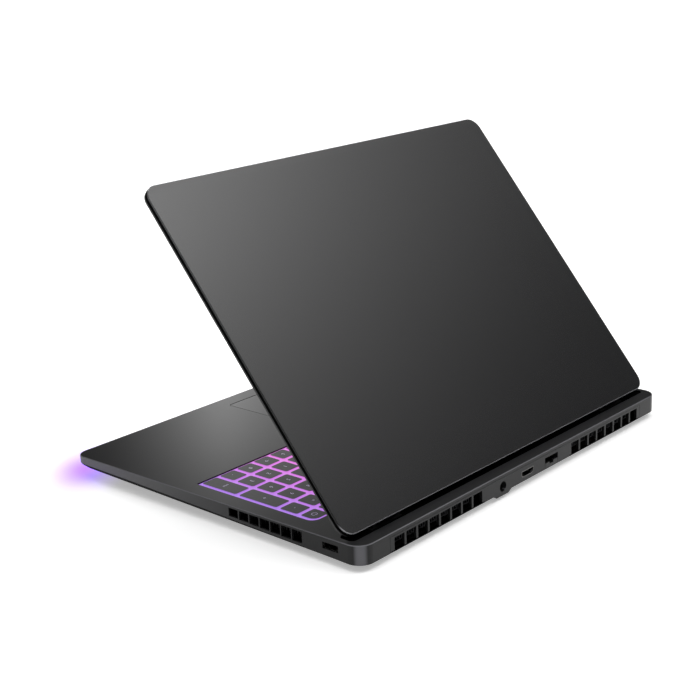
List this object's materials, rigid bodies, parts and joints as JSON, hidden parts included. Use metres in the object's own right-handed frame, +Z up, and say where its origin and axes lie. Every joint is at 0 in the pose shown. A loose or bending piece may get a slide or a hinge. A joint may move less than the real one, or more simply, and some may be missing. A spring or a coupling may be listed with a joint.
{
  "type": "laptop computer",
  "caption": "Open laptop computer with a hinged lid, lit keyboard with number pad, touchpad, rear and side vents, and sockets in the rear and side walls.",
  "frame": {"origin": "on the table under the middle of the base", "axes": "+X to the user's right, +Y from the user to the hinge, +Z up"},
  "size_m": [0.3564, 0.269, 0.2196],
  "materials": {
    "casing_metal": "fine matt dark grey anodised",
    "cover_plastic": "dark moulded, fine spark texture",
    "bezel_plastic": "black moulded, matt",
    "screen_glass": "dark, anti-glare",
    "panel_metal": "plain sheet",
    "key_plastic": "matt dark grey, legends shine through",
    "light_guide": "milky, lit violet to pink",
    "light_bar_lens": "milky, lit violet",
    "pad_glass": "etched, matt dark grey",
    "sheet_steel": "pressed sheet",
    "hinge_steel": "blackened steel",
    "screw_steel": "black zinc",
    "foot_rubber": "matt black",
    "port_steel": "nickel plated",
    "port_plastic": "black moulded",
    "circuit_board": "dark green solder mask",
    "chip_package": "moulded package",
    "copper": "bare copper",
    "fin_aluminium": "bare fins",
    "fan_plastic": "black moulded",
    "battery_sleeve": "black film",
    "speaker_plastic": "black moulded"
  },
  "bodies": {
    "base": {"top_case": "casing_metal", "bottom_cover": "cover_plastic", "cover_screws": "screw_steel", "rear_grille": "casing_metal", "intake_grilles": "cover_plastic", "rear_foot": "foot_rubber", "front_feet": "foot_rubber", "light_bar": "light_bar_lens", "right_hinge_bracket": "hinge_steel", "left_hinge_bracket": "hinge_steel", "hinge_pins": "hinge_steel", "bracket_screws": "screw_steel", "key_light_grid": "light_guide", "keyboard_tray": "sheet_steel", "touchpad_frame": "sheet_steel", "dc_jack": "port_plastic", "video_port": "port_steel", "ethernet_socket": "port_plastic", "usb_a_port": "port_steel", "usb_c_ports": "port_steel", "audio_jack": "port_plastic", "motherboard": "circuit_board", "graphics_chip": "chip_package", "processor": "chip_package", "cold_plate": "copper", "heat_pipes": "copper", "memory_modules": "circuit_board", "solid_state_drive": "circuit_board", "wireless_card": "circuit_board", "battery_pack": "battery_sleeve", "speakers": "speaker_plastic", "right_fan_housing": "fan_plastic", "left_fan_housing": "fan_plastic", "right_fin_stack": "fin_aluminium", "left_fin_stack": "fin_aluminium"},
    "lid": {"lid_back_cover": "casing_metal", "screen_bezel": "bezel_plastic", "screen_glass": "screen_glass", "screen_panel": "panel_metal", "webcam_module": "circuit_board", "lid_gasket": "foot_rubber", "wifi_aerials": "circuit_board", "right_hinge_leaf": "hinge_steel", "left_hinge_leaf": "hinge_steel", "leaf_screws": "screw_steel"},
    "touchpad": {"touchpad": "pad_glass"},
    "ethernet_jaw": {"ethernet_jaw": "cover_plastic"},
    "right_fan": {"right_fan_rotor": "fan_plastic"},
    "left_fan": {"left_fan_rotor": "fan_plastic"},
    "bottom_row_keys": {"bottom_row_keys": "key_plastic"},
    "lower_row_keys": {"lower_row_keys": "key_plastic"},
    "home_row_keys": {"home_row_keys": "key_plastic"},
    "upper_row_keys": {"upper_row_keys": "key_plastic"},
    "number_row_keys": {"number_row_keys": "key_plastic"},
    "function_row_keys": {"function_row_keys": "key_plastic"},
    "space_bar": {"space_bar": "key_plastic"},
    "enter_key": {"enter_key": "key_plastic"},
    "numpad_enter_key": {"numpad_enter_key": "key_plastic"},
    "numpad_plus_key": {"numpad_plus_key": "key_plastic"},
    "power_key": {"power_key": "key_plastic"}
  },
  "joints": [
    {"name": "lid_hinge", "type": "hinge", "parent": "base", "child": "lid", "pos_m": [0, 0.11926, 0.0208], "axis": [-1, 0, 0], "range_deg": [-50.8, 89.2]},
    {"name": "bottom_row_keys_press", "type": "slide", "parent": "base", "child": "bottom_row_keys", "axis": [0, 0, -1], "range_m": [0, 0.0014], "stiffness_N_per_m": 400, "springref_m": -0.0006},
    {"name": "lower_row_keys_press", "type": "slide", "parent": "base", "child": "lower_row_keys", "axis": [0, 0, -1], "range_m": [0, 0.0014], "stiffness_N_per_m": 400, "springref_m": -0.0006},
    {"name": "home_row_keys_press", "type": "slide", "parent": "base", "child": "home_row_keys", "axis": [0, 0, -1], "range_m": [0, 0.0014], "stiffness_N_per_m": 400, "springref_m": -0.0006},
    {"name": "upper_row_keys_press", "type": "slide", "parent": "base", "child": "upper_row_keys", "axis": [0, 0, -1], "range_m": [0, 0.0014], "stiffness_N_per_m": 400, "springref_m": -0.0006},
    {"name": "number_row_keys_press", "type": "slide", "parent": "base", "child": "number_row_keys", "axis": [0, 0, -1], "range_m": [0, 0.0014], "stiffness_N_per_m": 400, "springref_m": -0.0006},
    {"name": "function_row_keys_press", "type": "slide", "parent": "base", "child": "function_row_keys", "axis": [0, 0, -1], "range_m": [0, 0.0014], "stiffness_N_per_m": 400, "springref_m": -0.0006},
    {"name": "space_bar_press", "type": "slide", "parent": "base", "child": "space_bar", "axis": [0, 0, -1], "range_m": [0, 0.0014], "stiffness_N_per_m": 400, "springref_m": -0.0006},
    {"name": "enter_key_press", "type": "slide", "parent": "base", "child": "enter_key", "axis": [0, 0, -1], "range_m": [0, 0.0014], "stiffness_N_per_m": 400, "springref_m": -0.0006},
    {"name": "numpad_enter_key_press", "type": "slide", "parent": "base", "child": "numpad_enter_key", "axis": [0, 0, -1], "range_m": [0, 0.0014], "stiffness_N_per_m": 400, "springref_m": -0.0006},
    {"name": "numpad_plus_key_press", "type": "slide", "parent": "base", "child": "numpad_plus_key", "axis": [0, 0, -1], "range_m": [0, 0.0014], "stiffness_N_per_m": 400, "springref_m": -0.0006},
    {"name": "power_key_press", "type": "slide", "parent": "base", "child": "power_key", "axis": [0, 0, -1], "range_m": [0, 0.0014], "stiffness_N_per_m": 400, "springref_m": -0.0006},
    {"name": "touchpad_click", "type": "hinge", "parent": "base", "child": "touchpad", "pos_m": [-0.025, -0.0401, 0.0162], "axis": [1, 0, 0], "range_deg": [0, 0.36], "stiffness_Nm_per_rad": 15, "springref_deg": -0.11},
    {"name": "jaw_swing", "type": "hinge", "parent": "base", "child": "ethernet_jaw", "pos_m": [-0.02865, 0.1334, 0.0056], "axis": [-1, 0, 0], "range_deg": [0, 30], "stiffness_Nm_per_rad": 0.02, "springref_deg": -11.46},
    {"name": "right_fan_spin", "type": "hinge", "parent": "base", "child": "right_fan", "pos_m": [0.112, 0.058, 0.0086], "axis": [0, 0, 1], "continuous": true},
    {"name": "left_fan_spin", "type": "hinge", "parent": "base", "child": "left_fan", "pos_m": [-0.112, 0.058, 0.0086], "axis": [0, 0, 1], "continuous": true}
  ]
}
